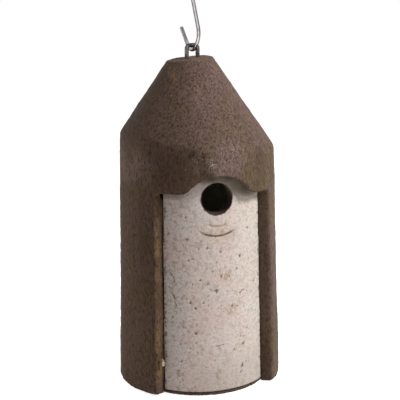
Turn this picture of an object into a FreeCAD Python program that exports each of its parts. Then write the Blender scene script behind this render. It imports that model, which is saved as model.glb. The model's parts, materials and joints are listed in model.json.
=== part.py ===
import FreeCAD, Part
import math
import os

# Hanging nest box of wood-concrete with a removable front panel.
# Millimetres, +Z up. The entrance faces -Y. The origin is the middle of the standing rim.

V = FreeCAD.Vector

# Body casting: wall, roof and brow in one piece
base_radius = 88.5           # outside of the wall at the standing rim
wall_draft = 1.4             # degrees, the wall leans in towards the roof
wall = 22.0                  # thickness of wall and roof
rim_round = 3.0              # rounding of the outer lower edge
rim_steps = 2                # the rounding is made of this many cones
roof_half_angle = 34.3       # degrees, roof cone from its axis
crown_height = 348.0         # flat top of the roof above the rim
crown_radius = 24.0          # flat top
crown_tilt = 5.0             # degrees, the flat top falls towards -X
crown_thickness = 27.0       # solid stone above the chamber, holds the staple
roof_shift = 5.5             # the roof of the casting sits this far towards -X
eave_round = 12.0            # rounding between roof and wall

# Front opening and the brow above it
opening_half_angle = 47.0    # degrees, middle of the front to each cheek
cheek_round = 3.0            # rounding of the cheeks' front edges
brow_depth = 47.86           # from the eave down to the lower edge, in the middle of the front
brow_tilt = 2.0              # degrees, the lower edge falls towards +X
arch_radius = 39.0           # arch over the entrance
arch_rise = 20.5             # highest point of the arch above the lower edge
arch_foot_round = 18.0       # hollow from the arch into the lower edge
keel_proud = 5.0             # how far the brow's keel stands out of the wall
keel_spread = 15.0           # degrees, keel line to where its flank meets the wall
keel_top_angle = -10.7       # degrees from the middle of the front, where it meets the roof
keel_lean = 25.3             # degrees from upright, the keel line comes to the middle as it falls

# Front panel
panel_setback = 13.5         # outer face behind the outside of the wall, at the rim
panel_draft = 1.0            # degrees
panel_thickness = 16.0
panel_side_gap = 1.0         # to each cheek
panel_brow_gap = 1.5         # panel face to the back of the brow
shoulder_lap = 6.0           # panel beside the tongue, above the middle of the lower edge
tongue_half_angle = 36.0     # degrees, the part of the panel behind the brow
tongue_height = 28.0         # above the middle of the lower edge
tongue_room = 11.0           # free height above the tongue, for tilting
pocket_side = 4.0            # the pocket is this much wider than the opening on each side
pocket_drop = 5.0            # it starts this far below the middle of the brow's lower edge
entrance_diameter = 32.0
entrance_drop = 25.0         # middle of the entrance below the top of the arch
claw_grooves = ((28.5, 21.0), (38.5, 29.0))   # radius about the entrance, half span in degrees
claw_groove_width = 2.2
claw_groove_depth = 1.3

# Floor
floor_thickness = 20.0       # its underside is level with the standing rim
floor_bearing = 7.0          # how far its edge reaches under the wall
floor_lip = 7.0              # how far the panel's heel stands on the floor
floor_ledge = 4.2            # the floor runs out under the panel's lower edge this thick
seat_gap = 0.3               # panel above the floor and its ledge
lip_gap = 0.7                # panel lip in front of the floor
drain_diameter = 7.0
drain_circle = 38.0
drain_count = 4

# Staple cast into the crown
staple_wire = 4.5
staple_width = 15.0          # between the middles of the legs
staple_bar_height = 13.0     # middle of the bar above the crown
staple_shift = 3.9           # towards -X, as the roof, but set by hand
staple_anchor_depth = 16.0
staple_anchor_length = 7.0
staple_bend = 3.6

# Hook that hangs in the staple
hanger_turn = 25.0           # degrees, staple and hook about the vertical
hook_wire = 4.2
hook_slack = 0.25            # under the bar
hook_bend = 7.0              # lower bend, middle of the wire
tip_lean = 30.0              # degrees from upright
tip_rise = 18.0              # end of the short arm above the bar
shank_lean = 28.0            # degrees, lower part of the shank
shank_knee = 10.5            # above the bar
shank_knee_bend = 22.0
stem_lean = 15.5             # degrees, the other way
stem_top = 58.0              # above the bar
stem_bend = 14.0
crook_radius = 25.0          # middle of the wire
crook_neck = 20.0            # rise of the neck beside the stem
crook_neck_bend = 16.0
crook_side = 46.0            # straight side and bend of the crook
crook_end = 29.0             # from the top of the crook down to its end

# Turning catch in the left cheek
catch_wire = 3.0
catch_clearance = 0.05
catch_height = 40.0
catch_standoff = 7.4         # axis in front of the panel face
catch_arm = 6.5
catch_reach = 4.2            # arm's middle off the cheek
catch_bend = 2.2
catch_shank = 18.0           # length inside the cheek

bend_step = 30.0             # degrees, every wire bend is made of short straight steps
REACH = 400.0                # longer than any cut needs


def tan(degrees):
    return math.tan(math.radians(degrees))


def sin(degrees):
    return math.sin(math.radians(degrees))


def cos(degrees):
    return math.cos(math.radians(degrees))


def wall_radius(z):
    return base_radius - z * tan(wall_draft)


def chamber_radius(z):
    return wall_radius(z) - wall


def panel_face_radius(z):
    return base_radius - panel_setback - z * tan(panel_draft)


roof_apex = crown_height + crown_radius / tan(roof_half_angle)
eave_height = (roof_apex * tan(roof_half_angle) - base_radius) / (tan(roof_half_angle) - tan(wall_draft))
brow_foot = eave_height - brow_depth
arch_peak = brow_foot + arch_rise
entrance_height = arch_peak - entrance_drop
tongue_top = brow_foot + tongue_height
shoulder_top = brow_foot + shoulder_lap
pocket_foot = brow_foot - pocket_drop
keel_top = eave_height - keel_proud / tan(roof_half_angle)
floor_radius = chamber_radius(floor_thickness) + floor_bearing
floor_front_radius = panel_face_radius(floor_thickness) - panel_thickness + floor_lip
staple_foot = crown_height - staple_anchor_depth
bar_height = crown_height + staple_bar_height
panel_foot = floor_ledge + seat_gap


def turned(outline):
    """Turn an outline of (radius, height) points about the vertical axis."""
    corners = [V(r, 0, z) for r, z in outline]
    face = Part.Face(Part.makePolygon(corners + corners[:1]))
    return face.revolve(V(0, 0, 0), V(0, 0, 1), 360)


def front_wedge(half_angle, gap, low, high):
    """Space between two radial planes about the front, each drawn in by a gap."""
    tip = V(0, -gap / sin(half_angle), low)
    right = tip + V(REACH * sin(half_angle), -REACH * cos(half_angle), 0)
    left = tip + V(-REACH * sin(half_angle), -REACH * cos(half_angle), 0)
    face = Part.Face(Part.makePolygon([tip, left, right, tip]))
    return face.extrude(V(0, 0, high - low))


def bent_wire(points, bends, diameter):
    """Round wire along straight runs, with mitred steps round every bend."""
    path = [points[0]]
    for index, bend in enumerate(bends, 1):
        corner = points[index]
        inward = (corner - points[index - 1]).normalize()
        outward = (points[index + 1] - corner).normalize()
        turn = math.degrees(inward.getAngle(outward))
        centre = corner + (outward - inward).normalize() * (bend / cos(turn / 2))
        begin = corner - inward * (bend * tan(turn / 2))
        steps = math.ceil(turn / bend_step)
        half_step = turn / steps / 2
        spoke = (begin - centre) * (1 / cos(half_step))
        for count in range(steps):
            swing = FreeCAD.Rotation(inward.cross(outward), half_step * (2 * count + 1))
            path.append(centre + swing.multVec(spoke))
    path.append(points[-1])
    ring = Part.Wire(Part.makeCircle(diameter / 2, path[0], path[1] - path[0]))
    mitred = 1
    return Part.makePolygon(path).makePipeShell([ring], True, False, mitred)


def wall_block():
    """Solid drafted wall with its rounded standing edge, taller than the roof."""
    outline = [(0, 0)]
    middle = wall_radius(rim_round) - rim_round
    for count in range(rim_steps + 1):
        turn = 90.0 * count / rim_steps
        outline.append((middle + rim_round * sin(turn), rim_round - rim_round * cos(turn)))
    return turned(outline + [(wall_radius(roof_apex), roof_apex), (0, roof_apex)])


def keel_section(z):
    """Triangle at one height: the keel line and a point inside the wall on each flank."""
    radius = wall_radius(z)
    angle = keel_top_angle + math.degrees((keel_top - z) * tan(keel_lean) / radius)
    ridge = V((radius + keel_proud) * sin(angle), -(radius + keel_proud) * cos(angle), z)
    feet = []
    for side in (-1, 1):
        turn = angle + side * keel_spread
        meet = V(radius * sin(turn), -radius * cos(turn), z)
        feet.append(meet + (meet - ridge) * 0.4)
    return Part.makePolygon([ridge, feet[0], feet[1], ridge])


def keel():
    """Pointed bow of the brow, from below the arch up into the roof."""
    low = keel_top - 2 * wall
    high = keel_top + wall
    return Part.makeLoft([keel_section(low), keel_section(high)], True, True)


def roof_cone():
    """Everything under the roof cone and below its tilted flat top."""
    height = roof_apex + wall
    cone = Part.makeCone(height * tan(roof_half_angle), 0, height, V(-roof_shift, 0, -wall))
    cone.rotate(V(-roof_shift, 0, 0), V(0, 0, 1), 90)
    top = Part.makeBox(REACH, REACH, REACH, V(-REACH / 2, -REACH / 2, 0))
    top.rotate(V(0, 0, 0), V(0, 1, 0), -crown_tilt)
    top.translate(V(-roof_shift, 0, crown_height))
    return cone.cut(top)


def chamber():
    """Brood chamber: drafted core, drawn out downwards, with a cone under the roof."""
    apex = roof_apex - wall / sin(roof_half_angle)
    closing = tan(roof_half_angle) - tan(wall_draft)
    shoulder = (apex * tan(roof_half_angle) - chamber_radius(0)) / closing
    ceiling = crown_height - crown_thickness
    return turned([(0, -wall), (chamber_radius(-wall), -wall), (chamber_radius(shoulder), shoulder),
                   ((apex - ceiling) * tan(roof_half_angle), ceiling), (0, ceiling)])


def below_brow():
    """Front half of everything below the line of the brow's lower edge."""
    slope = V(REACH * cos(brow_tilt), 0, -REACH * sin(brow_tilt))
    middle = V(0, 0, brow_foot)
    deep = V(0, 0, -REACH)
    corners = [middle - slope, middle + slope, middle + slope + deep, middle - slope + deep]
    return Part.Face(Part.makePolygon(corners + corners[:1])).extrude(V(0, -REACH, 0))


def arch_cut():
    """Front opening below the brow, with the arch over the entrance."""
    centre = V(0, 0, arch_peak - arch_radius)
    arch = Part.makeCylinder(arch_radius, REACH, centre, V(0, -1, 0))
    cut = below_brow().fuse(arch)
    feet = [e for e in cut.Edges if e.BoundBox.YLength > REACH - 1 and e.BoundBox.XLength < 1
            and abs(e.CenterOfMass.x) < arch_radius and e.CenterOfMass.z > centre.z]
    cut = cut.makeFillet(arch_foot_round, feet)
    return cut.common(front_wedge(opening_half_angle, 0, -wall, tongue_top))


def panel_pocket():
    """Room for the panel and for its tongue behind the brow."""
    top = tongue_top + tongue_room
    low = pocket_foot
    outline = [(0, low), (panel_face_radius(low) + panel_brow_gap, low),
               (panel_face_radius(top) + panel_brow_gap, top), (0, top)]
    return turned(outline).common(front_wedge(opening_half_angle, -pocket_side, low, top))


def floor_seat():
    """Rebate under the wall for the floor."""
    return Part.makeCylinder(floor_radius, floor_thickness + wall, V(0, 0, -wall))


def catch_points():
    """Corners of the catch: inner end, bend and tip, parked along the cheek."""
    radius = panel_face_radius(catch_height) + catch_standoff
    off_cheek = V(cos(opening_half_angle), -sin(opening_half_angle), 0)
    at_cheek = V(-radius * sin(opening_half_angle), -radius * cos(opening_half_angle), catch_height)
    corner = at_cheek + off_cheek * catch_reach
    return at_cheek - off_cheek * catch_shank, corner, corner - V(0, 0, catch_arm)


def catch_bore():
    """Hole in the cheek for the catch's shank."""
    inner, corner, tip = catch_points()
    radius = catch_wire / 2 + catch_clearance
    return Part.makeCylinder(radius, catch_shank + catch_reach, inner, corner - inner)


def staple():
    """Wire staple with splayed feet, cast into the crown."""
    half = staple_width / 2
    foot = half + staple_anchor_length
    outline = [(-foot, staple_foot), (-half, staple_foot), (-half, bar_height),
               (half, bar_height), (half, staple_foot), (foot, staple_foot)]
    along_bar = V(cos(hanger_turn), sin(hanger_turn), 0)
    points = [V(-staple_shift, 0, up) + along_bar * along for along, up in outline]
    return bent_wire(points, [staple_bend] * 4, staple_wire)


def hook():
    """Hook of bent wire: short arm, bend under the bar, shank, stem and open crook for a branch."""
    bend_height = hook_bend - hook_wire / 2 - staple_wire / 2 - hook_slack
    tip_corner = hook_bend * (1 - sin(tip_lean)) / cos(tip_lean)
    shank_corner = hook_bend * (1 - sin(shank_lean)) / cos(shank_lean)
    low = bend_height - hook_bend
    tip = (tip_corner + (tip_rise - low) * tan(tip_lean), tip_rise)
    knee = (-shank_corner - (shank_knee - low) * tan(shank_lean), shank_knee)
    stem = (knee[0] + (stem_top - shank_knee) * tan(stem_lean), stem_top)
    neck = (crook_radius, stem_top + crook_neck)
    crook_top = neck[1] + crook_side
    outline = [tip, (tip_corner, low), (-shank_corner, low), knee, stem, neck,
               (crook_radius, crook_top), (-crook_radius, crook_top), (-crook_radius, crook_top - crook_end)]
    bends = [hook_bend, hook_bend, shank_knee_bend, stem_bend, crook_neck_bend, crook_radius, crook_radius]
    across_bar = V(-sin(hanger_turn), cos(hanger_turn), 0)
    bar = V(-staple_shift, 0, bar_height)
    points = [bar + across_bar * across + V(0, 0, up) for across, up in outline]
    return bent_wire(points, bends, hook_wire)


def catch():
    """Bent wire that turns in the cheek and holds the panel's edge."""
    return bent_wire(list(catch_points()), [catch_bend], catch_wire)


def outside_form():
    """Wall under the roof cone with a rounded eave, and the keel."""
    form = wall_block().common(roof_cone())
    roof = [f for f in form.Faces if f.Surface.TypeId == "Part::GeomCone"
            and abs(abs(math.degrees(f.Surface.SemiAngle)) - roof_half_angle) < 0.01]
    eave = [e for f in roof for e in f.Edges if not e.isSeam(f) and e.CenterOfMass.z < crown_height - wall]
    return form.makeFillet(eave_round, eave).fuse(keel().common(roof_cone()))


def cheek_edge(side):
    """What the rounding takes off a cheek's front edge, which is straight and leans with the wall."""
    front = V(side * sin(opening_half_angle), -cos(opening_half_angle), 0)
    into_cheek = V(side * cos(opening_half_angle), sin(opening_half_angle), 0)
    lean = V(0, 0, cos(wall_draft)) - front * sin(wall_draft)
    inward = front * -cos(wall_draft) - V(0, 0, sin(wall_draft))
    corner = front * wall_radius(-wall) - V(0, 0, wall)
    on_wall = corner + into_cheek * cheek_round
    on_reveal = corner + inward * cheek_round
    between = on_wall + inward * cheek_round - (into_cheek + inward) * (cheek_round * cos(45))
    spare = corner - (into_cheek + inward) * cheek_round
    runs = [Part.makePolygon([on_reveal, on_reveal - into_cheek * cheek_round, spare,
                              on_wall - inward * cheek_round, on_wall]),
            Part.Wire(Part.Arc(on_wall, between, on_reveal).toShape())]
    return Part.Face(Part.Wire(runs)).extrude(lean * REACH).common(below_brow())


def rounded_cheeks(body):
    """Round the front edges of the two cheeks, from the rim up to the brow."""
    return body.cut(cheek_edge(-1)).cut(cheek_edge(1))


def body_casting(cast_in):
    """Wall, roof and brow, hollowed and opened, cast round the staple."""
    body = outside_form().cut(chamber()).cut(arch_cut()).cut(panel_pocket()).cut(floor_seat())
    return rounded_cheeks(body).cut(catch_bore()).cut(cast_in)


def floor_disc():
    """Floor set up into the wall's rebate, stepped for the panel's foot, with drain holes."""
    disc = Part.makeCylinder(floor_radius, floor_thickness)
    front = front_wedge(opening_half_angle, 0, floor_ledge, floor_thickness)
    kept = Part.makeCylinder(floor_front_radius, floor_thickness)
    disc = disc.cut(front.cut(kept))
    for index in range(drain_count):
        turn = 360.0 * (index + 0.5) / drain_count
        place = V(drain_circle * sin(turn), drain_circle * cos(turn), 0)
        disc = disc.cut(Part.makeCylinder(drain_diameter / 2, floor_thickness, place))
    return disc


def claw_groove(radius, half_span):
    """Shallow groove round the lower side of the entrance, for claws."""
    middle = V(0, 0, entrance_height)
    outer = Part.makeCylinder(radius + claw_groove_width / 2, REACH, middle, V(0, -1, 0))
    inner = Part.makeCylinder(radius - claw_groove_width / 2, REACH, middle, V(0, -1, 0))
    left = middle + V(-REACH * sin(half_span), 0, -REACH * cos(half_span))
    right = middle + V(REACH * sin(half_span), 0, -REACH * cos(half_span))
    span = Part.Face(Part.makePolygon([middle, left, right, middle])).extrude(V(0, -REACH, 0))
    skin = turned([(panel_face_radius(0) - claw_groove_depth, 0), (REACH, 0),
                   (REACH, tongue_top), (panel_face_radius(tongue_top) - claw_groove_depth, tongue_top)])
    return outer.cut(inner).common(span).common(skin)


def front_panel():
    """Curved panel with the entrance; its heel stands on the floor, its tongue is behind the brow."""
    foot = panel_foot
    outline = [(panel_face_radius(foot) - panel_thickness, foot), (panel_face_radius(foot), foot),
               (panel_face_radius(tongue_top), tongue_top),
               (panel_face_radius(tongue_top) - panel_thickness, tongue_top)]
    panel = turned(outline).common(front_wedge(opening_half_angle, panel_side_gap, 0, tongue_top))
    above = turned([(0, shoulder_top), (REACH, shoulder_top), (REACH, tongue_top), (0, tongue_top)])
    panel = panel.cut(above.cut(front_wedge(tongue_half_angle, 0, 0, tongue_top)))
    panel = panel.cut(Part.makeCylinder(floor_front_radius + lip_gap, floor_thickness + seat_gap))
    panel = panel.cut(Part.makeCylinder(entrance_diameter / 2, REACH, V(0, 0, entrance_height), V(0, -1, 0)))
    for radius, half_span in claw_grooves:
        panel = panel.cut(claw_groove(radius, half_span))
    return panel


def main():
    os.makedirs("parts", exist_ok=True)
    hanger_staple = staple()
    pieces = {
        "body_casting": body_casting(hanger_staple),
        "floor_disc": floor_disc(),
        "front_panel": front_panel(),
        "hanger_staple": hanger_staple,
        "hanger_hook": hook(),
        "panel_catch": catch(),
    }
    for name, shape in pieces.items():
        print(name, len(shape.Solids), "solid", round(shape.Volume), "mm3", shape.isValid())
        shape.exportStep("parts/" + name + ".step")


main()
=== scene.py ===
# %% [markdown]
# # A hanging nest box of wood-concrete
# The box is a rough brown casting with a pale front panel, a floor and three bits of wire.
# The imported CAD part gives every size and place. This lesson dresses it: the cast pieces get
# the worn edges and the grain of real wood-concrete, and the wires get their smooth bends.
# The object's sizes are written in millimetres, and MM turns them into Blender's metres. The
# studio round it, at the end, is written in metres.

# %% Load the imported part
import json
import math
import random

import bpy
import numpy as np
from mathutils import Matrix, Vector

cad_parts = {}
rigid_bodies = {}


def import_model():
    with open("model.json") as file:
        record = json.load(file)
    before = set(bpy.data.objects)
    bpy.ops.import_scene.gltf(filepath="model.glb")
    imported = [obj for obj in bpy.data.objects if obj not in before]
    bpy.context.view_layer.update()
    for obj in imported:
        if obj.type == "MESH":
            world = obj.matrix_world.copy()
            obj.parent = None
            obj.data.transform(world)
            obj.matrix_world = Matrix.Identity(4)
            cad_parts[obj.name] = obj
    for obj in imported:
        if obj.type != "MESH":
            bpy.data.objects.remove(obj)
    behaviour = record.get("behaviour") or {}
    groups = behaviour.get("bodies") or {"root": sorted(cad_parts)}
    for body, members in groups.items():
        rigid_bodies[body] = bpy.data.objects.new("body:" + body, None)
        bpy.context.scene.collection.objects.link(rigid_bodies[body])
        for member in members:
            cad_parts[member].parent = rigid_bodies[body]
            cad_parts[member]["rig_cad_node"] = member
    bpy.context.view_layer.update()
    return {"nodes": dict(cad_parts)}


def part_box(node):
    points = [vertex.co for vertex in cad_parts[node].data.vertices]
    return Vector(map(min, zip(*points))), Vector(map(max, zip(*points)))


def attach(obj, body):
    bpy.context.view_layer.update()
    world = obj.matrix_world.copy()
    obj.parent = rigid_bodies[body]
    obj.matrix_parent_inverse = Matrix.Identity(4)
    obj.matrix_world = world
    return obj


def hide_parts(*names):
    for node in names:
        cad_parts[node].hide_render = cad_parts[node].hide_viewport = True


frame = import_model()
MM = 0.001

# %% [markdown]
# ## A cast piece
# Wood-concrete is sawdust and cement tamped into a mould. It leaves the mould with crumbly,
# slightly rounded edges and a skin that is nowhere quite even. A bevel would give edges that
# are too clean, so each casting is a copy of its CAD node that is merged, rebuilt as an even
# skin of small faces, and smoothed a little. The even skin can then take dents and grain.

# %% Copy a casting
SAME_POINT = 0.001


def select_only(piece):
    """Select one piece and make it the one that operators act on."""
    bpy.ops.object.select_all(action="DESELECT")
    piece.select_set(True)
    bpy.context.view_layer.objects.active = piece


def apply_to(piece, modifier):
    """Make a modifier's result the piece's own mesh."""
    select_only(piece)
    bpy.ops.object.modifier_apply(modifier=modifier.name)


def casting_from(node, name, face_size, smoothing):
    """A merged copy of a CAD node as an even skin of small faces with softened edges."""
    select_only(frame["nodes"][node])
    bpy.ops.object.duplicate()
    piece = bpy.context.object
    piece.name = name
    piece.parent = None
    del piece["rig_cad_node"]
    bpy.ops.object.mode_set(mode="EDIT")
    bpy.ops.mesh.select_all(action="SELECT")
    bpy.ops.mesh.remove_doubles(threshold=SAME_POINT * MM)
    bpy.ops.object.mode_set(mode="OBJECT")
    skin = piece.modifiers.new("even_skin", "REMESH")
    skin.mode = "VOXEL"
    skin.voxel_size = face_size * MM
    apply_to(piece, skin)
    soft = piece.modifiers.new("soft_edges", "SMOOTH")
    soft.factor = 0.5
    soft.iterations = smoothing
    apply_to(piece, soft)
    bpy.ops.object.shade_smooth()
    print(name, len(piece.data.polygons), "faces")
    return piece


body = casting_from("body_casting", "body_stone", face_size=1.95, smoothing=1)
panel = casting_from("front_panel", "panel_stone", face_size=1.0, smoothing=2)
floor = casting_from("floor_disc", "floor_stone", face_size=1.1, smoothing=1)

# %% [markdown]
# ## Grain and unevenness
# Displace modifiers roughen the castings: a slow one for the hand-tamped unevenness of body and
# panel, and a fine one for the grain of all three. They mostly sink the surface, so that no
# piece grows into its neighbour, and their noise is tied to the object's own coordinates.
# Two places need more: the feet of the cheeks are knocked round, so a Smooth modifier works
# there alone, and where the keel runs out into the roof the mix is crumbly, so a coarser
# pattern bites there. A vertex group that fades out from a spot limits each of them.

# %% Roughen the castings
LEVEL_SHARE = 0.62
CHEEK_FEET = [(-64.0, -60.0, 0.0), (64.0, -60.0, 0.0)]
FOOT_REACH = 9.0
KEEL_HEAD = [(-11.0, -85.0, 256.0)]
CRUMB_REACH = 20.0


def points_of(piece):
    """All vertex places of a piece as one array, in millimetres."""
    flat = np.zeros(len(piece.data.vertices) * 3, np.float32)
    piece.data.vertices.foreach_get("co", flat)
    return flat.reshape(-1, 3) / MM


def mark_near(piece, name, spots, reach):
    """Vertex group that fades out from some spots, in millimetres."""
    group = piece.vertex_groups.new(name=name)
    place = points_of(piece)
    for spot in spots:
        near = np.linalg.norm(place - np.array(spot), axis=1)
        for index in np.nonzero(near < reach)[0]:
            group.add([int(index)], 1 - float(near[index]) / reach, "REPLACE")
    return group.name


def roughen(piece, label, size, depth, where=""):
    """Sink the skin by a cloud pattern of the given size and depth, in millimetres."""
    pattern = bpy.data.textures.new(piece.name + "_" + label, "CLOUDS")
    pattern.noise_scale = size * MM
    pattern.noise_depth = 2
    rough = piece.modifiers.new(label, "DISPLACE")
    rough.texture = pattern
    rough.texture_coords = "LOCAL"
    rough.direction = "NORMAL"
    rough.strength = depth * MM
    rough.mid_level = LEVEL_SHARE
    rough.vertex_group = where
    apply_to(piece, rough)


soft_feet = body.modifiers.new("soft_feet", "SMOOTH")
soft_feet.vertex_group = mark_near(body, "cheek_feet", CHEEK_FEET, FOOT_REACH)
soft_feet.factor = 0.8
soft_feet.iterations = 14
apply_to(body, soft_feet)
keel_head = mark_near(body, "keel_head", KEEL_HEAD, CRUMB_REACH)
roughen(body, "crumbs", size=6.5, depth=4.2, where=keel_head)
roughen(body, "tamped", size=38.0, depth=1.6)
roughen(body, "grain", size=5.0, depth=0.9)
roughen(panel, "tamped", size=45.0, depth=0.7)
roughen(panel, "grain", size=4.0, depth=0.25)
roughen(floor, "grain", size=5.0, depth=0.45)
print("roughened", [piece.name for piece in (body, panel, floor)])

# %% [markdown]
# ## Pits and cracks in the panel
# Air bubbles and lost chips leave small dark pits all over the pale panel, and a few hair
# cracks. They could be painted only, but light catches their rims, so the skin is pushed in at
# each pit. The larger marks stand where the photograph shows them, as x, z and radius on the
# panel's front, and a crack is a row of small pits along its line. Fine pits are scattered with
# a fixed seed, all over and along both upright edges, where the casting breaks first.

# %% Place the pits
BIG_PITS = [
    (35, 176, 1.5), (33, 193, 0.8), (-32, 192, 0.9), (-31, 169, 1.0), (-20, 159, 1.2), (-11, 160, 1.2),
    (2, 155, 1.2), (25, 148, 1.6), (36, 143, 1.1), (-26, 149, 1.2), (-30, 147, 1.2), (-2, 145, 0.9),
    (-6, 135, 1.2), (21, 135, 1.3), (3, 129, 1.1), (12, 128, 1.1), (-19, 126, 1.2), (-11, 122, 1.4),
    (-2, 114, 1.9), (43, 117, 1.3), (-29, 102, 1.4), (-16, 102, 1.1), (-24, 96, 1.2), (-11, 99, 1.0),
    (-24, 69, 1.8), (-24, 59, 1.1), (33, 68, 1.1), (25, 61, 1.1), (28, 52, 1.5), (17, 48, 1.2),
    (23, 49, 0.9), (-30, 53, 1.0), (27, 28, 1.9), (32, 31, 1.0), (-2, 12, 1.0), (-42, 27, 1.1),
    (-38, 39, 0.9), (-4, 43, 0.9), (15, 46, 0.8), (15, 96, 1.1), (21, 95, 1.2), (11, 96, 1.0),
    (-13, 201.5, 2.2), (-8.7, 197.5, 1.8),
]
CRACKS = [
    [(-47, 133), (-44, 129), (-43, 126), (-44, 122)],
    [(-46, 112), (-44, 108), (-43, 104), (-43, 101), (-41, 97)],
    [(-4, 54), (1, 54), (6, 56)],
    [(24, 108), (27, 110), (31, 111)],
    [(26, 23), (24, 20)],
    [(-9, 116), (-5, 114), (-2, 113)],
]
BIG_DENT, SMALL_DENT = 0.9, 0.8
CRACK_RADIUS = 0.8
FINE_PITS = 520
FINE_RADIUS = (0.45, 0.9)
FINE_DENT = (0.25, 0.8)
FIELD_ACROSS = (-52, 52)
FIELD_UP = (7, 207)
EDGE_PITS = 110
EDGE_RADIUS = (0.6, 1.5)
EDGE_UP = (6, 210)
EDGE_BAND = 1.0
CHEEK_TURN = math.radians(47.0)
PANEL_RADIUS = 73.5
PANEL_DRAFT = math.radians(1.0)

dice = random.Random(7)
pits = [(x, z, radius, BIG_DENT) for x, z, radius in BIG_PITS]
for line in CRACKS:
    for (x0, z0), (x1, z1) in zip(line, line[1:]):
        steps = max(2, round(math.hypot(x1 - x0, z1 - z0)))
        for count in range(steps):
            share = count / steps
            pits.append((x0 + (x1 - x0) * share, z0 + (z1 - z0) * share, CRACK_RADIUS, SMALL_DENT))
for _ in range(FINE_PITS):
    x, z = dice.uniform(*FIELD_ACROSS), dice.uniform(*FIELD_UP)
    pits.append((x, z, dice.uniform(*FINE_RADIUS), dice.uniform(*FINE_DENT)))
for _ in range(EDGE_PITS):
    z = dice.uniform(*EDGE_UP)
    edge = (PANEL_RADIUS - z * math.tan(PANEL_DRAFT)) * math.sin(CHEEK_TURN)
    x = dice.choice((-1, 1)) * (edge - dice.uniform(0, EDGE_BAND))
    pits.append((x, z, dice.uniform(*EDGE_RADIUS), SMALL_DENT))
print("pits", len(pits))

# %% [markdown]
# ## Sinking the pits
# A sculpting brush would do for a few pits, but not for hundreds, so all vertices are moved at
# once as one array. Each pit is a small lobed bowl with a flat middle, because a lost chip is
# never round. How deep each point lies is kept in an attribute of the mesh, which the finish
# reads to paint shade into the pits.

# %% Sink the pits
FULL_DEPTH = 0.9
FLAT_MIDDLE = 0.25
FRONT_FACING = -0.25
LOBE_TURN = (0, 6.28)
LOBE_SIZE = (0.15, 0.45)
STRETCH = (0.6, 1.5)


def normals_of(piece):
    """All vertex normals of a piece as one array."""
    flat = np.zeros(len(piece.data.vertices) * 3, np.float32)
    piece.data.vertex_normals.foreach_get("vector", flat)
    return flat.reshape(-1, 3)


def keep_mark(piece, name, values):
    """Keep one number for each vertex of a piece, for its finish to read."""
    mark = piece.data.attributes.new(name, "FLOAT", "POINT")
    mark.data.foreach_set("value", values.astype(np.float32))


place = points_of(panel)
normal = normals_of(panel)
depth = np.zeros(len(place), np.float32)
front = normal[:, 1] < FRONT_FACING
for x, z, radius, deep in pits:
    aside, upward = place[:, 0] - x, place[:, 2] - z
    lobes = np.sin(3 * np.arctan2(upward, aside) + dice.uniform(*LOBE_TURN)) * dice.uniform(*LOBE_SIZE)
    away = np.hypot(aside, upward * dice.uniform(*STRETCH)) * (1 + lobes)
    dent = np.clip(1 + FLAT_MIDDLE - away / radius, 0, 1) * deep
    depth = np.maximum(depth, np.where(front, dent, 0))
place -= normal * (depth * FULL_DEPTH)[:, None]
panel.data.vertices.foreach_set("co", (place * MM).astype(np.float32).ravel())
keep_mark(panel, "pit", depth)
panel.data.update()
print("deepest pit in mm:", round(float(depth.max()) * FULL_DEPTH, 2))

# %% [markdown]
# ## The raw inside
# Only the outside of the casting is dyed. The brood chamber keeps the paler, greenish grey of
# raw wood-concrete. A second material on the inner faces would end in a hard line, so an
# attribute marks the skin that lies on the chamber's own form and fades out at its edges.

# %% Mark the chamber's skin
CHAMBER_RADIUS = 66.5
CHAMBER_APEX = 344.1
CEILING = 323.0
WALL_DRAFT = math.radians(1.4)
ROOF_HALF_ANGLE = math.radians(34.3)
RAW_REACH = 2.5
RAW_FADE = 1.5

place = points_of(body)
height = place[:, 2]
from_axis = np.hypot(place[:, 0], place[:, 1])
chamber = np.minimum(CHAMBER_RADIUS - height * math.tan(WALL_DRAFT),
                     (CHAMBER_APEX - height) * math.tan(ROOF_HALF_ANGLE))
raw_share = np.clip((chamber + RAW_REACH - from_axis) / RAW_FADE, 0, 1) * (height < CEILING)
keep_mark(body, "raw", raw_share)
print("raw skin", round(float(raw_share.mean()), 2), "of the body")

# %% [markdown]
# ## Bent wire
# Staple, hook and catch are round steel wire bent over a mandrel. A curve with a round bevel
# would do, but extruding a ring along each straight run and spinning it round each bend is how
# the wire is really formed, and it gives an even ring of faces. The cut ends get a small bevel.

# %% Bend a wire
RING_POINTS = 20
BEND_STEP = 9
SHORTEST_RUN = 0.01
RING_MERGE = 0.005
END_BEVEL = 0.14
SHARP_EDGE = math.radians(50)


def close_wire(wire, diameter):
    """Merge the runs of a wire in edit mode, then close its ends and bevel them."""
    bpy.ops.mesh.select_all(action="SELECT")
    bpy.ops.mesh.remove_doubles(threshold=RING_MERGE * MM)
    bpy.ops.mesh.fill_holes(sides=0)
    bpy.ops.mesh.select_all(action="SELECT")
    bpy.ops.mesh.normals_make_consistent(inside=False)
    bpy.ops.mesh.select_mode(type="FACE")
    bpy.ops.mesh.select_all(action="DESELECT")
    bpy.ops.object.mode_set(mode="OBJECT")
    for face in wire.data.polygons:
        face.select = len(face.vertices) > 4
    bpy.ops.object.mode_set(mode="EDIT")
    bpy.ops.mesh.bevel(offset=diameter * END_BEVEL * MM, segments=2)
    bpy.ops.mesh.select_all(action="DESELECT")
    bpy.ops.object.mode_set(mode="OBJECT")
    bpy.ops.object.shade_smooth_by_angle(angle=SHARP_EDGE)


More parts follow.
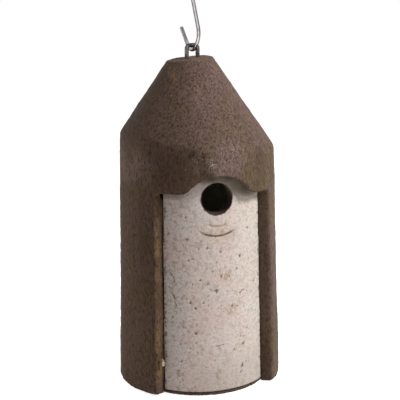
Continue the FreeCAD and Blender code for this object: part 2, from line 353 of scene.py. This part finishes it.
def bend_wire(name, points, bends, diameter):
    """Round wire through the corner points with a true bend at each inner corner."""
    corners = [Vector(p) * MM for p in points]
    heading = (corners[1] - corners[0]).normalized()
    bpy.ops.object.select_all(action="DESELECT")
    bpy.ops.mesh.primitive_circle_add(vertices=RING_POINTS, radius=diameter / 2 * MM, location=corners[0],
                                      rotation=heading.to_track_quat("Z", "Y").to_euler())
    wire = bpy.context.object
    wire.name = name
    bpy.ops.object.transform_apply(location=True, rotation=True, scale=True)
    bpy.ops.object.mode_set(mode="EDIT")
    bpy.ops.mesh.select_mode(type="VERT")
    bpy.ops.mesh.select_all(action="SELECT")
    at = corners[0]
    for index, bend in enumerate(bends, 1):
        inward = (corners[index] - corners[index - 1]).normalized()
        outward = (corners[index + 1] - corners[index]).normalized()
        turn = inward.angle(outward)
        setback = bend * MM * math.tan(turn / 2)
        start = corners[index] - inward * setback
        if (start - at).length > SHORTEST_RUN * MM:
            bpy.ops.mesh.extrude_region_move(TRANSFORM_OT_translate={"value": start - at})
        middle = corners[index] + (outward - inward).normalized() * (bend * MM / math.cos(turn / 2))
        bpy.ops.mesh.spin(steps=max(4, round(math.degrees(turn) / BEND_STEP)), angle=-turn,
                          center=middle, axis=inward.cross(outward).normalized())
        at = corners[index] + outward * setback
    bpy.ops.mesh.extrude_region_move(TRANSFORM_OT_translate={"value": corners[-1] - at})
    close_wire(wire, diameter)
    print(name, len(wire.data.polygons), "faces, top", round(float(points_of(wire)[:, 2].max()), 1))
    return wire


print("wire:", RING_POINTS, "points round it, and", BEND_STEP, "degrees to a step of a bend")

# %% [markdown]
# ## Staple and hook
# The staple is cast into the crown, turned 25 degrees, with its feet bent outwards as an anchor.
# The hook hangs under its bar with a little play: a short tip, a bend round the bar, a knee, a
# stem and a wide crook for a branch. The CAD wires could be smoothed, but their bends are coarse
# steps, so both are drawn anew as corners along and across the bar, with the sizes of the CAD
# part, and then bent.

# %% Bend staple and hook
HANGER_TURN = math.radians(25.0)
BAR = Vector((-3.9, 0, 361.0))
STAPLE_WIRE = 4.5
STAPLE_BEND = 3.6
LEG_PLACE = 7.5
ANCHOR_REACH = 14.5
ANCHOR_HEIGHT = 332.0
along_bar = Vector((math.cos(HANGER_TURN), math.sin(HANGER_TURN), 0))
across_bar = Vector((-math.sin(HANGER_TURN), math.cos(HANGER_TURN), 0))
half_staple = [(ANCHOR_REACH, ANCHOR_HEIGHT), (LEG_PLACE, ANCHOR_HEIGHT), (LEG_PLACE, BAR.z)]
staple_outline = [(-along, up) for along, up in half_staple] + half_staple[::-1]
staple_corners = [Vector((BAR.x, 0, up)) + along_bar * along for along, up in staple_outline]
staple = bend_wire("staple_wire", staple_corners, [STAPLE_BEND] * 4, STAPLE_WIRE)

HOOK_WIRE = 4.2
HANG_PLAY = 0.25
HOOK_BEND, KNEE_BEND, STEM_BEND, FOOT_BEND = 7.0, 22.0, 14.0, 16.0
TIP_LEAN, SHANK_LEAN, STEM_LEAN = (math.radians(d) for d in (30, 28, 15.5))
TIP_TOP, KNEE_HEIGHT, STEM_HEIGHT = 18.0, 10.5, 58.0
CROOK_RADIUS = 25.0
CROOK_FOOT, CROOK_TOP, CROOK_END = 78.0, 124.0, 95.0


def bend_corner(lean):
    """How far from the middle the corner of the hook's bend lies, on a side with this lean."""
    return HOOK_BEND * (1 - math.sin(lean)) / math.cos(lean)


low = -(HOOK_WIRE + STAPLE_WIRE) / 2 - HANG_PLAY
tip_foot = bend_corner(TIP_LEAN)
shank_foot = -bend_corner(SHANK_LEAN)
knee = shank_foot - (KNEE_HEIGHT - low) * math.tan(SHANK_LEAN)
stem = knee + (STEM_HEIGHT - KNEE_HEIGHT) * math.tan(STEM_LEAN)
hook_outline = [
    (tip_foot + (TIP_TOP - low) * math.tan(TIP_LEAN), TIP_TOP), (tip_foot, low), (shank_foot, low),
    (knee, KNEE_HEIGHT), (stem, STEM_HEIGHT), (CROOK_RADIUS, CROOK_FOOT), (CROOK_RADIUS, CROOK_TOP),
    (-CROOK_RADIUS, CROOK_TOP), (-CROOK_RADIUS, CROOK_END)]
hook_corners = [BAR + across_bar * across + Vector((0, 0, up)) for across, up in hook_outline]
hook_bends = [HOOK_BEND, HOOK_BEND, KNEE_BEND, STEM_BEND, FOOT_BEND, CROOK_RADIUS, CROOK_RADIUS]
hook = bend_wire("hook_wire", hook_corners, hook_bends, HOOK_WIRE)

# %% [markdown]
# ## Painted reflections on the hook
# In the photograph the hook's wire is bright in the middle with a dark line on both sides,
# where the shiny wire reflects darker surroundings. These dark reflections are painted into its
# colour. A striped texture would have to follow every bend, but the vertex normals already know
# their side of the wire: the painted lines lie where the normal points along the staple's bar or
# square to it.

# %% Mark the painted reflections
PAINTED_RIM_START = 0.55
PAINTED_RIM_FADE = 0.3

sideways = normals_of(hook) @ np.array(along_bar)
double_turn = np.abs(2 * sideways ** 2 - 1)
painted_rim_share = np.clip((double_turn - PAINTED_RIM_START) / PAINTED_RIM_FADE, 0, 1)
# The mark named scale holds the painted dark reflections along the wire's sides.
keep_mark(hook, "scale", painted_rim_share)
print("scale on", round(float(painted_rim_share.mean()), 2), "of the hook")

# %% [markdown]
# ## Catch
# A short bent wire turns in a bore of the left cheek. Parked, its leg hangs down beside the
# panel; turned, it lies across the panel's edge and keeps it in. It is bent like the other two,
# square to the face of the cheek. All three wires are then measured against their CAD nodes.

# %% Bend the catch
CATCH_WIRE = 3.0
CATCH_BEND = 2.2
CATCH_HEIGHT = 40.0
CHEEK_RADIUS = 75.0
CATCH_INSET = 7.4
CATCH_REACH, SHANK_DEPTH, CATCH_LEG = 4.2, 18.0, 6.5

off_cheek = Vector((math.cos(CHEEK_TURN), -math.sin(CHEEK_TURN), 0))
catch_radius = CHEEK_RADIUS - CATCH_HEIGHT * math.tan(PANEL_DRAFT) + CATCH_INSET
at_cheek = Vector((-catch_radius * math.sin(CHEEK_TURN), -catch_radius * math.cos(CHEEK_TURN), CATCH_HEIGHT))
catch_corner = at_cheek + off_cheek * CATCH_REACH
catch_leg = catch_corner - Vector((0, 0, CATCH_LEG))
catch = bend_wire("catch_wire", [at_cheek - off_cheek * SHANK_DEPTH, catch_corner, catch_leg],
                  [CATCH_BEND], CATCH_WIRE)
for piece, node in ((staple, "hanger_staple"), (hook, "hanger_hook"), (catch, "panel_catch")):
    lowest, highest = (np.array(corner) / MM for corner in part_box(node))
    mine = points_of(piece)
    print(node, "off by mm:", np.round(mine.min(0) - lowest, 2), np.round(mine.max(0) - highest, 2))

# %% [markdown]
# ## A way to write finishes
# A finish is a small recipe of nodes. Written as formulas it is easier to read than as links:
# one class wraps a socket so that sums and products add Math nodes, and one method adds any
# other node with its settings and the values of its sockets. Patterns read the object's own
# coordinates, so that they stay on the piece when it moves.


# %% Formulas for finishes
class Tone:
    """A socket that can be added, subtracted and multiplied in a formula."""

    def __init__(self, recipe, socket):
        self.recipe = recipe
        self.socket = socket

    def join(self, kind, first, second=0.0):
        """A Math node of the given kind."""
        return self.recipe.node("ShaderNodeMath", {"operation": kind}, {0: first, 1: second})

    def __add__(self, other):
        return self.join("ADD", self, other)

    __radd__ = __add__

    def __sub__(self, other):
        return self.join("SUBTRACT", self, other)

    def __rsub__(self, other):
        return self.join("SUBTRACT", other, self)

    def __mul__(self, other):
        return self.join("MULTIPLY", self, other)

    __rmul__ = __mul__

    def __abs__(self):
        return self.join("ABSOLUTE", self)

    def root(self):
        """The square root."""
        return self.join("SQRT", self)


class Recipe:
    """The nodes of a material or a world, built up one by one."""

    def __init__(self, owner):
        owner.use_nodes = True
        self.tree = owner.node_tree
        self.tree.nodes.clear()

    def node(self, kind, settings, inputs, output=0):
        """Add a node with its settings and its sockets' values or links, and return an output."""
        made = self.tree.nodes.new(kind)
        for key, value in settings.items():
            setattr(made, key, value)
        for key, value in inputs.items():
            if isinstance(value, Tone):
                self.tree.links.new(value.socket, made.inputs[key])
            else:
                made.inputs[key].default_value = value
        return Tone(self, made.outputs[output]) if len(made.outputs) else None


print("formulas ready:", Tone.__name__, Recipe.__name__)

# %% [markdown]
# ## Patterns for finishes
# Each finish is a base colour with thin layers over it: clouds, chips, flecks, stains and dirt,
# each with a pattern that says how much of it shows. They could be painted on an image, but an
# image has one sharpness and seams, and noise has neither. The class below gathers the patterns
# that several finishes need, with their sizes in millimetres on the real object.

# %% Patterns and layers
STONE_GLOSS = 0.25


def rgb(red, green, blue):
    """A colour as read off a screen, 0 to 255, as the linear light that the shader wants."""
    def linear(level):
        level = level / 255
        return level / 12.92 if level <= 0.04045 else ((level + 0.055) / 1.055) ** 2.4
    return (linear(red), linear(green), linear(blue), 1.0)


class Finish(Recipe):
    """The recipe of one material."""

    def __init__(self, name):
        self.material = bpy.data.materials.new(name)
        super().__init__(self.material)
        self.place = self.node("ShaderNodeTexCoord", {}, {}, "Object")

    def upright(self, squeeze):
        """The object's coordinates for a pattern that is drawn out upright."""
        return self.node("ShaderNodeMapping", {}, {"Vector": self.place, "Scale": (1.0, 1.0, squeeze)})

    def along(self, axis):
        """One of the object's coordinates, in millimetres."""
        return self.node("ShaderNodeSeparateXYZ", {}, {0: self.place}, axis) * (1 / MM)

    def mark(self, name):
        """The numbers that the mesh keeps under this name."""
        return self.node("ShaderNodeAttribute", {"attribute_name": name}, {}, "Fac")

    def noise(self, size, detail=3.0, roughness=0.55, place=None):
        """Cloudy pattern from 0 to 1, with blobs of the given size."""
        inputs = {"Vector": place or self.place, "Scale": 1 / (size * MM)}
        inputs.update({"Detail": detail, "Roughness": roughness})
        return self.node("ShaderNodeTexNoise", {}, inputs, "Fac")

    def cells(self, size, place=None):
        """Distance from scattered points that lie about the given size apart."""
        inputs = {"Vector": place or self.place, "Scale": 1 / (size * MM)}
        return self.node("ShaderNodeTexVoronoi", {"feature": "F1"}, inputs, "Distance")

    def step(self, value, low, high, to_low=0.0, to_high=1.0):
        """Soft step of a value: to_low below low, to_high above high."""
        inputs = {"Value": value, "From Min": low, "From Max": high, "To Min": to_low, "To Max": to_high}
        return self.node("ShaderNodeMapRange", {"interpolation_type": "SMOOTHSTEP"}, inputs)

    def fade(self, value, low, high):
        """Soft step down: 1 below low, 0 above high."""
        return self.step(value, low, high, 1.0, 0.0)

    def spot(self, x, z, width, height):
        """Soft round spot on the front, 1 in its middle and 0 outside."""
        near = (self.along("X") - x) * (1 / width)
        far = (self.along("Z") - z) * (1 / height)
        return self.fade(near * near + far * far, 0.0, 1.0)

    def spots(self, *places):
        """Several spots added up, each with a strength of its own at the end."""
        return sum(self.spot(*place) * strength for *place, strength in places)

    def mix(self, share, first, second):
        """The first colour, with a share of the second."""
        return self.node("ShaderNodeMix", {"data_type": "RGBA", "blend_type": "MIX"},
                         {"Factor": share, "A": first, "B": second}, "Result")

    def layered(self, tone, layers):
        """Lay colours over a tone, each with its share."""
        for share, colour in layers:
            tone = self.mix(share, tone, rgb(*colour))
        return tone

    def bump(self, height, strength, depth):
        """Fine relief that only the light sees, with its depth in millimetres."""
        inputs = {"Strength": strength, "Distance": depth * MM, "Height": height}
        return self.node("ShaderNodeBump", {}, inputs)

    def close(self, inputs):
        """End the recipe with the surface shader."""
        shader = self.node("ShaderNodeBsdfPrincipled", {}, inputs)
        self.node("ShaderNodeOutputMaterial", {}, {"Surface": shader})
        return self.material

    def close_stone(self, tone, rough, bump):
        """End the recipe of a casting: dry stone with hardly any gloss."""
        return self.close({"Base Color": tone, "Roughness": rough, "Normal": bump,
                           "Specular IOR Level": STONE_GLOSS})


def dress(piece, material, body_name, node):
    """Give a piece its finish and the CAD body that it rides on."""
    piece.data.materials.clear()
    piece.data.materials.append(material)
    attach(piece, body_name)
    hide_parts(node)
    print(piece.name, "wears", material.name, "with", len(material.node_tree.nodes), "nodes")


print("middle grey, 128 of 255, is", round(rgb(128, 128, 128)[0], 2), "of white's light")

# %% [markdown]
# ## Brown wood-concrete
# The outside of the casting is dyed brown. Its surface shows mauve and olive clouds a few
# centimetres across, a fine grain of wood chips, pale flecks of cement and dark pores. It is
# yellower to the left, where painted shade darkens it too, most of all down the roof there. A
# photograph of stone could be wrapped round it, but it would stretch on the cone, so everything
# is noise in the object's own coordinates at those sizes, with the grain drawn out upright.

# %% Brown patterns
ROOF_SHIFT = 5.5
ROOF_APEX = 383.2
ROOF_SHADE_TURN = math.radians(21.0)

stone = Finish("brown_stone")
clouds = stone.noise(42.0, 2.0)
drift = stone.noise(17.0)
drawn_out = stone.upright(0.45)
chips = stone.noise(2.1, 3.0, 0.65, drawn_out)
flecks = stone.noise(1.5, 2.0, 0.6)
pore = stone.fade(stone.cells(3.4, drawn_out), 0.10, 0.24)
right, back, up = (stone.along(axis) for axis in "XYZ")
roof = stone.step(up, 250.0, 272.0)
# Left side of the casting: a yellower tint, and painted shade away from the main lamp.
left_tint_and_shade = stone.fade(right + (drift - 0.5) * 40.0, -72.0, 8.0)
wall_streaks = stone.step(stone.noise(15.0, 2.0, 0.5, stone.upright(0.14)), 0.48, 0.66)
roof_rills = stone.step(stone.noise(8.0, 2.0, 0.5, stone.upright(0.2)), 0.45, 0.66)
# Painted shade down the roof's slope that faces left and a little back.
outward = back * math.sin(ROOF_SHADE_TURN) - (right + ROOF_SHIFT) * math.cos(ROOF_SHADE_TURN)
painted_roof_shade = stone.step(outward - (ROOF_APEX - up) * math.tan(ROOF_HALF_ANGLE), -30.0, 2.0)


def cheek_face(side, low, high):
    """The narrow face of a cheek beside the panel: side is -1 for left, 1 for right."""
    off_face = right * (-side * math.cos(CHEEK_TURN)) - back * math.sin(CHEEK_TURN)
    on_side = stone.step(right * side, 42.0, 46.0)
    return stone.fade(abs(off_face), 1.5, 3.5) * on_side * stone.fade(up, low, high)


print("brown patterns:", len(stone.tree.nodes), "nodes")

# %% [markdown]
# ## Layers of the brown
# The layers follow the casting from its dye to its dirt: large stains first, then single marks
# where the photograph shows them, and last the chips, flecks and pores that lie over all. One
# colour ramp could hold all these tones, but not where each of them lies, so every stain is a
# layer with a share of its own. Some single marks are painted shade and painted light: on the
# flanks and ridge of the keel, on the faces of the cheeks and under the brow. At the head of the
# keel pale flecks lie thicker, partly cement and partly painted glints, beside two dark spots.

# %% Brown finish
base = stone.mix(stone.step(clouds, 0.42, 0.62) * (1.0 - roof * 0.45), rgb(113, 91, 83), rgb(104, 87, 67))
olive_apron = stone.spot(47.0, 236.0, 34.0, 30.0) * stone.step(drift, 0.25, 0.55)
pale_bloom = stone.spot(-76.0, 240.0, 17.0, 24.0) * stone.step(drift, 0.3, 0.55) * stone.fade(back, 0.0, 30.0)
ochre_smear = stone.spot(-31.0, 333.0, 5.0, 13.0) * stone.step(drift, 0.3, 0.5)
# Where pale flecks lie thicker at the head of the keel: partly cement, partly painted glints of light on the
# crumbly skin.
crumbs = stone.spots((-22.0, 255.5, 8.0, 7.0, 1.8), (-10.0, 247.0, 8.0, 10.0, 1.6),
                     (13.0, 253.0, 20.0, 17.0, 1.0))
# Two dark spots at the head of the keel.
dark_spots = stone.spots((-27.0, 257.0, 6.0, 5.0, 1.0), (-16.0, 258.0, 5.0, 4.0, 1.0))
flecks_and_glints = stone.step(flecks, 0.62, 0.80) * (1.0 - left_tint_and_shade * 0.4) + crumbs * stone.step(flecks, 0.53, 0.63)
flecks_and_glints = flecks_and_glints + roof * stone.step(flecks, 0.58, 0.74) * 0.3
stained_and_shaded = stone.layered(base, [
    (olive_apron * 0.8, (98, 82, 58)),
    # Yellower left side, darkened there by painted shade.
    (left_tint_and_shade * 0.62, (72, 49, 26)),
    # Painted shade on the keel's left flank, which faces away from the main lamp.
    (stone.spot(-36.0, 238.0, 34.0, 30.0) * 0.45, (64, 42, 27)),
    # Lighter ochre on the left cheek's face: partly tint, partly painted light where it faces the main lamp.
    (cheek_face(-1, 213.0, 217.0) * stone.step(drift, 0.4, 0.65) * 0.5, (126, 104, 68)),
    # Painted shade at the top of the left cheek's face, under the brow.
    (stone.spot(-53.0, 212.0, 8.0, 9.0) * 0.55, (52, 36, 20)),
    # Painted shade on the right cheek's face, which faces away from the main lamp.
    (cheek_face(1, 212.0, 222.0) * 0.6, (98, 78, 64)),
    (wall_streaks * stone.fade(up, 256.0, 266.0) * 0.3, (50, 36, 26)),
    (roof_rills * roof * 0.3, (84, 63, 52)),
    # Painted shade down the roof's left slope.
    (painted_roof_shade * roof * 0.4, (24, 18, 13)),
    (ochre_smear * 0.55, (132, 104, 72)),
    (stone.spot(-12.0, 316.0, 4.5, 15.0) * 0.35, (142, 106, 98)),
    (pale_bloom * 0.55, (128, 107, 98)),
    # Paler mauve on the keel's right flank: partly tint, partly painted light.
    (stone.spot(10.0, 249.0, 25.0, 30.0) * 0.52, (131, 107, 99)),
    # Painted light on the keel's left flank, lifting its shade.
    (stone.spot(-22.0, 249.0, 9.0, 14.0) * 0.4, (122, 104, 94)),
    # Painted shade along the ridge of the keel.
    (stone.spot(-7.0, 246.0, 8.0, 17.0) * 0.3, (60, 48, 42)),
])
outside_tone = stone.layered(stained_and_shaded, [
    (stone.step(chips, 0.38, 0.70) * (0.75 + roof * 0.12), (58, 43, 33)),
    (left_tint_and_shade * stone.step(chips, 0.50, 0.72) * 0.7, (30, 22, 15)),
    # Pale flecks: cement all over, and painted glints at the head of the keel.
    (flecks_and_glints * 0.55, (160, 142, 134)),
    (dark_spots * stone.step(chips, 0.40, 0.55) * 0.6, (40, 31, 24)),
    (pore * 0.6, (40, 30, 24)),
])
undyed = stone.mix(chips, rgb(234, 232, 206), rgb(206, 202, 178))
relief = chips * 0.5 + flecks * 0.35 - pore * 0.7 + drift * 0.4
brown_stone = stone.close_stone(stone.mix(stone.mark("raw"), outside_tone, undyed),
                                stone.step(flecks, 0.2, 0.8, 0.97, 0.82), stone.bump(relief, 0.55, 0.6))
dress(body, brown_stone, "box", "body_casting")

# %% [markdown]
# ## Pale panel
# The panel is cast of a pale mix: warm grey with a faint pink, yellower to the right, dotted
# with fine pores and a little grimy at its foot. It could be the brown finish in paler colours,
# but its clouds are smaller and it has no chips, so it gets patterns of its own.

# %% Pale patterns
pale = Finish("pale_stone")
clouds = pale.noise(34.0, 2.0)
drift = pale.noise(9.0)
grain = pale.noise(2.2, 3.0, 0.6)
right, up = pale.along("X"), pale.along("Z")
yellowing = pale.step(right + (drift - 0.5) * 50.0, 0.0, 45.0)
speck = pale.fade(pale.cells(4.6), 0.07, 0.16) * pale.step(drift, 0.45, 0.6)
dots = pale.fade(pale.cells(2.6), 0.06, 0.17) * pale.step(pale.noise(14.0, 2.0), 0.42, 0.58)
blotch = pale.step(pale.noise(5.5, 3.0, 0.6), 0.50, 0.68)
left_side = pale.fade(right, -38.0, -12.0)
grime = pale.fade(up, 10.0, 62.0) * pale.step(right, -38.0, -12.0)
plain = pale.mix(pale.step(clouds, 0.40, 0.62), rgb(215, 196, 187), rgb(214, 202, 194))
cast = pale.layered(plain, [
    (yellowing * 0.6, (213, 205, 193)),
    (pale.step(grain, 0.40, 0.72) * 0.42, (146, 126, 115)),
    (speck * 0.6, (110, 92, 80)),
    (dots * 0.3, (104, 86, 74)),
    # Darker blotches; on the left they are made stronger as painted shade of grazing light on the rough skin.
    (blotch * (0.3 + left_side * 0.3), (150, 131, 120)),
    (grime * 0.3, (150, 136, 124)),
])
print("pale patterns:", len(pale.tree.nodes), "nodes")

# %% [markdown]
# ## Dirt, stains and painted shade on the panel
# The wall of the entrance is painted dark as shade, with a greasy rim round it, and the two
# grooves under it are brown with the dirt of many claws. Both follow the entrance, so they are
# drawn by the distance from its middle. Close under the brow the photograph is darker than the
# lamps make it, so painted shade is laid there too. Ochre stains run down in short strokes, and
# the pits of the skin get painted shade by their attribute.

# %% Pale finish
ENTRANCE_HEIGHT = 210.5
UPPER_GROOVE, LOWER_GROOVE = 28.5, 38.5

drop = up - ENTRANCE_HEIGHT
reach = (right * right + drop * drop).root()
below = pale.fade(drop, -22.0, -14.0)
upper_dirt = pale.fade(abs(reach - UPPER_GROOVE), 0.4, 1.6) * pale.fade(abs(right), 7.0, 11.5)
lower_dirt = pale.fade(abs(reach - LOWER_GROOVE), 0.4, 1.5) * pale.fade(abs(right), 14.0, 20.0)
# The wall of the entrance, painted dark as shade, with a greasy rim round it.
hole_shade_and_grease = pale.fade(reach + (drift - 0.5) * 3.0, 16.6, 17.7)
# Painted shade close under the brow.
painted_brow_shade = pale.spots((26.0, 225.0, 24.0, 17.0, 0.95), (2.0, 237.0, 26.0, 11.0, 0.75),
                       (-44.0, 214.5, 17.0, 6.0, 0.6), (-11.0, 231.0, 12.0, 6.0, 0.5))
# Deeper painted shade along the brow's lower edge.
painted_deep_shade = pale.spots((39.0, 216.0, 17.0, 9.0, 0.75), (5.0, 231.0, 17.0, 9.0, 0.6),
                       (-14.0, 231.0, 13.0, 7.0, 0.5))
stains = pale.spots((8.0, 131.0, 10.0, 10.0, 0.6), (14.5, 92.0, 11.0, 9.0, 0.5),
                    (-17.0, 121.0, 7.0, 6.0, 0.4), (-1.0, 23.0, 6.0, 8.0, 0.6),
                    (1.0, 175.0, 25.0, 9.0, 0.4))
strokes = pale.step(pale.noise(2.8, 2.0, 0.5, pale.upright(0.4)), 0.40, 0.62)
# The panel's dirt, stains and painted shade.
soiled_and_shaded = pale.layered(cast, [
    (hole_shade_and_grease * 0.95, (42, 29, 21)),
    (painted_brow_shade * pale.step(drift, 0.1, 0.4), (116, 103, 88)),
    (painted_deep_shade, (84, 71, 58)),
    (upper_dirt * below * 0.55, (150, 125, 90)),
    (lower_dirt * below * pale.step(drift, 0.35, 0.52, 0.35, 0.95), (92, 66, 46)),
    (stains * strokes, (152, 122, 84)),
    # Painted shade in the pits, darker the deeper they are.
    (pale.step(pale.mark("pit"), 0.1, 0.75) * 0.78, (82, 66, 56)),
])
relief = grain * 0.5 + drift * 0.4 - speck * 0.6
pale_stone = pale.close_stone(soiled_and_shaded, pale.step(grain, 0.2, 0.8, 0.95, 0.8), pale.bump(relief, 0.35, 0.5))
dress(panel, pale_stone, "panel", "front_panel")

# %% [markdown]
# ## Floor
# The floor is cast of the same brown mix, but it keeps a little of the grey of the mould plate
# and has no stains of its own. It could share the casting's finish, but that one has stains at
# places of the casting, so the floor gets its own, duller one.

# %% Floor finish
plate = Finish("floor_stone")
drift = plate.noise(16.0)
grain = plate.noise(2.4, 3.0, 0.65)
pore = plate.fade(plate.cells(3.6), 0.10, 0.24)
tone = plate.mix(plate.step(drift, 0.35, 0.65), rgb(98, 82, 72), rgb(82, 68, 58))
tone = plate.layered(tone, [
    (plate.step(grain, 0.38, 0.70) * 0.7, (58, 46, 38)),
    (pore * 0.5, (40, 32, 26)),
])
floor_stone = plate.close_stone(tone, plate.step(grain, 0.2, 0.8, 0.97, 0.85),
                                plate.bump(grain * 0.6 - pore * 0.7, 0.5, 0.5))
dress(floor, floor_stone, "box", "floor_disc")

# %% [markdown]
# ## Steel wire
# The staple is dull, dark and rough from the casting. The hook is bright drawn wire with dark
# painted reflections along both sides, and painted shade darkens its tip and the back of its
# crook. The catch is rubbed bright at its leg and rusty where it leaves the cheek. Three recipes
# would repeat each other, so one function makes them all: a metal whose colour and roughness
# vary with noise, with a darker end along one axis where the wire has one.


# %% Steel finishes
def steel(name, light, dark, shine, dull, metal, scale=None, rust_and_shade_end=None):
    """Drawn wire: tarnish, fine scratches, painted dark reflections and a darker end."""
    finish = Finish(name)
    tarnish = finish.noise(5.0)
    scratch = finish.noise(0.9, 2.0, 0.6, finish.upright(0.25))
    tone = finish.mix(finish.step(tarnish, 0.38, 0.66), rgb(*light), rgb(*dark))
    tone = finish.layered(tone, [(finish.step(scratch, 0.45, 0.75) * 0.4, dark)])
    # Painted dark reflections where the mesh marks them.
    if scale:
        tone = finish.layered(tone, [(finish.mark("scale") * 0.9, scale)])
    # A darker end: rust on the catch, painted shade at the hook's tip and crook.
    if rust_and_shade_end:
        axis, clean, full, colour = rust_and_shade_end
        tone = finish.layered(tone, [(finish.step(finish.along(axis), clean, full) * 0.85, colour)])
    return finish.close({"Base Color": tone, "Metallic": metal,
                         "Roughness": finish.step(tarnish, 0.3, 0.7, shine, dull),
                         "Normal": finish.bump(scratch + tarnish, 0.25, 0.1)})


dull_steel = steel("dull_steel", light=(108, 105, 100), dark=(64, 60, 56), shine=0.4, dull=0.65,
                   metal=0.85)
# The hook's scale colour paints dark reflections along its sides; its darker end behind the bar is painted
# shade.
bright_steel = steel("bright_steel", light=(226, 222, 222), dark=(184, 180, 179), shine=0.16, dull=0.3,
                     metal=1.0, scale=(50, 48, 48), rust_and_shade_end=("Y", 3.0, 8.0, (116, 112, 113)))
catch_steel = steel("catch_steel", light=(198, 182, 154), dark=(150, 130, 102), shine=0.45, dull=0.65,
                    metal=0.5, rust_and_shade_end=("Z", 37.6, 39.2, (92, 72, 50)))
dress(staple, dull_steel, "box", "hanger_staple")
dress(hook, bright_steel, "hook", "hanger_hook")
dress(catch, catch_steel, "catch", "panel_catch")

# %% [markdown]
# ## White floor and room
# The photograph is a product shot on white. More light on the object would burn it out, so the
# paper on the floor and the room are white only to the camera and to reflections. As light, the
# room is dimmer and fills the shade, and the paper keeps the shadow of the box.

# %% Floor and room
FLOOR_SIZE = 14.0
FLOOR_DROP = 0.0005
PAPER_GLOW = 0.84
ROOM_LIGHT = 0.185


def seen_directly(recipe):
    """1 for rays of the camera, of gloss and of clear things, 0 for light on its way to a surface."""
    kinds = ("Is Camera Ray", "Is Glossy Ray", "Is Transmission Ray")
    camera_ray, glossy_ray, clear_ray = (recipe.node("ShaderNodeLightPath", {}, {}, kind) for kind in kinds)
    return clear_ray.join("MAXIMUM", camera_ray.join("MAXIMUM", camera_ray, glossy_ray), clear_ray)


bpy.ops.object.select_all(action="DESELECT")
bpy.ops.mesh.primitive_plane_add(size=FLOOR_SIZE, location=(0, 0, -FLOOR_DROP))
ground = bpy.context.object
ground.name = "studio_floor"
paper = Finish("studio_paper")
white = paper.mix(paper.noise(60.0, 2.0) * 0.04, (0.86, 0.86, 0.86, 1), (0.82, 0.82, 0.82, 1))
matt = paper.node("ShaderNodeBsdfDiffuse", {}, {"Color": white})
glow = paper.node("ShaderNodeEmission", {}, {"Strength": seen_directly(paper) * PAPER_GLOW})
both = paper.node("ShaderNodeAddShader", {}, {0: matt, 1: glow})
paper.node("ShaderNodeOutputMaterial", {}, {"Surface": both})
ground.data.materials.append(paper.material)

world = bpy.data.worlds.new("studio")
bpy.context.scene.world = world
room = Recipe(world)
level = room.node("ShaderNodeMapRange", {},
                  {"Value": seen_directly(room), "To Min": ROOM_LIGHT, "To Max": 1.0})
walls = room.node("ShaderNodeBackground", {}, {"Color": (1, 1, 1, 1), "Strength": level})
room.node("ShaderNodeOutputWorld", {}, {"Surface": walls})
print("studio:", ground.name, "and world", world.name)

# %% [markdown]
# ## Lamps
# In the photograph the shade under the brow falls to the lower left with a soft edge, so the
# main light stands high on the right and is of middle size. A weak one from behind on the left
# edges the wall there. Point lamps would cut harder shadows, so both are area lamps.

# %% Lamps
AIM = Vector((0, 0, 0.18))


def soft_light(name, toward, height, distance, size, power):
    """Square soft light at a turn from the front, in degrees to the right, aimed at the box."""
    turn = math.radians(toward)
    stand = Vector((math.sin(turn) * distance, -math.cos(turn) * distance, height))
    bpy.ops.object.light_add(type="AREA", location=stand)
    lamp = bpy.context.object
    lamp.name = name
    lamp.data.size = size
    lamp.data.energy = power
    lamp.rotation_euler = (AIM - stand).to_track_quat("-Z", "Y").to_euler()
    print(name, power, "W at", [round(x, 2) for x in stand])


soft_light("main_softbox", toward=52.0, height=1.66, distance=1.6, size=0.45, power=46.0)
soft_light("rim_softbox", toward=-125.0, height=0.6, distance=1.3, size=0.6, power=6.0)

# %% [markdown]
# ## Camera
# The camera stands a little to the left of the box and looks down on it. Its distance, height
# and lens were fitted to the outlines in the photograph. A camera could be aimed by a Track To
# constraint, but this one is also rolled a little, so its three axes are turned one by one:
# round the box, by the yaw, by the pitch and by the roll.

# %% Camera
SENSOR = 36.0
LENS = 94.41
CAMERA_DISTANCE = 1.107367
CAMERA_HEIGHT = 0.436861
turn, yaw, pitch, roll = (math.radians(d) for d in (-16.322, 0.136, 12.327, 0.687))


def turned(first, second, angle):
    """Two axes turned in their plane, the first towards the second."""
    return (first * math.cos(angle) + second * math.sin(angle),
            second * math.cos(angle) - first * math.sin(angle))


camera_data = bpy.data.cameras.new("camera")
camera = bpy.data.objects.new("camera", camera_data)
bpy.context.scene.collection.objects.link(camera)
bpy.context.scene.camera = camera
camera_data.sensor_width = SENSOR
camera_data.lens = LENS
ahead = Vector((-math.sin(turn), math.cos(turn), 0))
side = Vector((math.cos(turn), math.sin(turn), 0))
above = Vector((0, 0, 1))
ahead, side = turned(ahead, side, yaw)
ahead, above = turned(ahead, above, -pitch)
side, above = turned(side, above, -roll)
stand = Vector((CAMERA_DISTANCE * math.sin(turn), -CAMERA_DISTANCE * math.cos(turn), CAMERA_HEIGHT))
placing = Matrix((side, above, -ahead)).transposed().to_4x4()
placing.translation = stand
camera.matrix_world = placing
bpy.context.scene.view_settings.view_transform = "Standard"
print("camera at", [round(x, 3) for x in stand], "with a lens of", LENS, "mm")
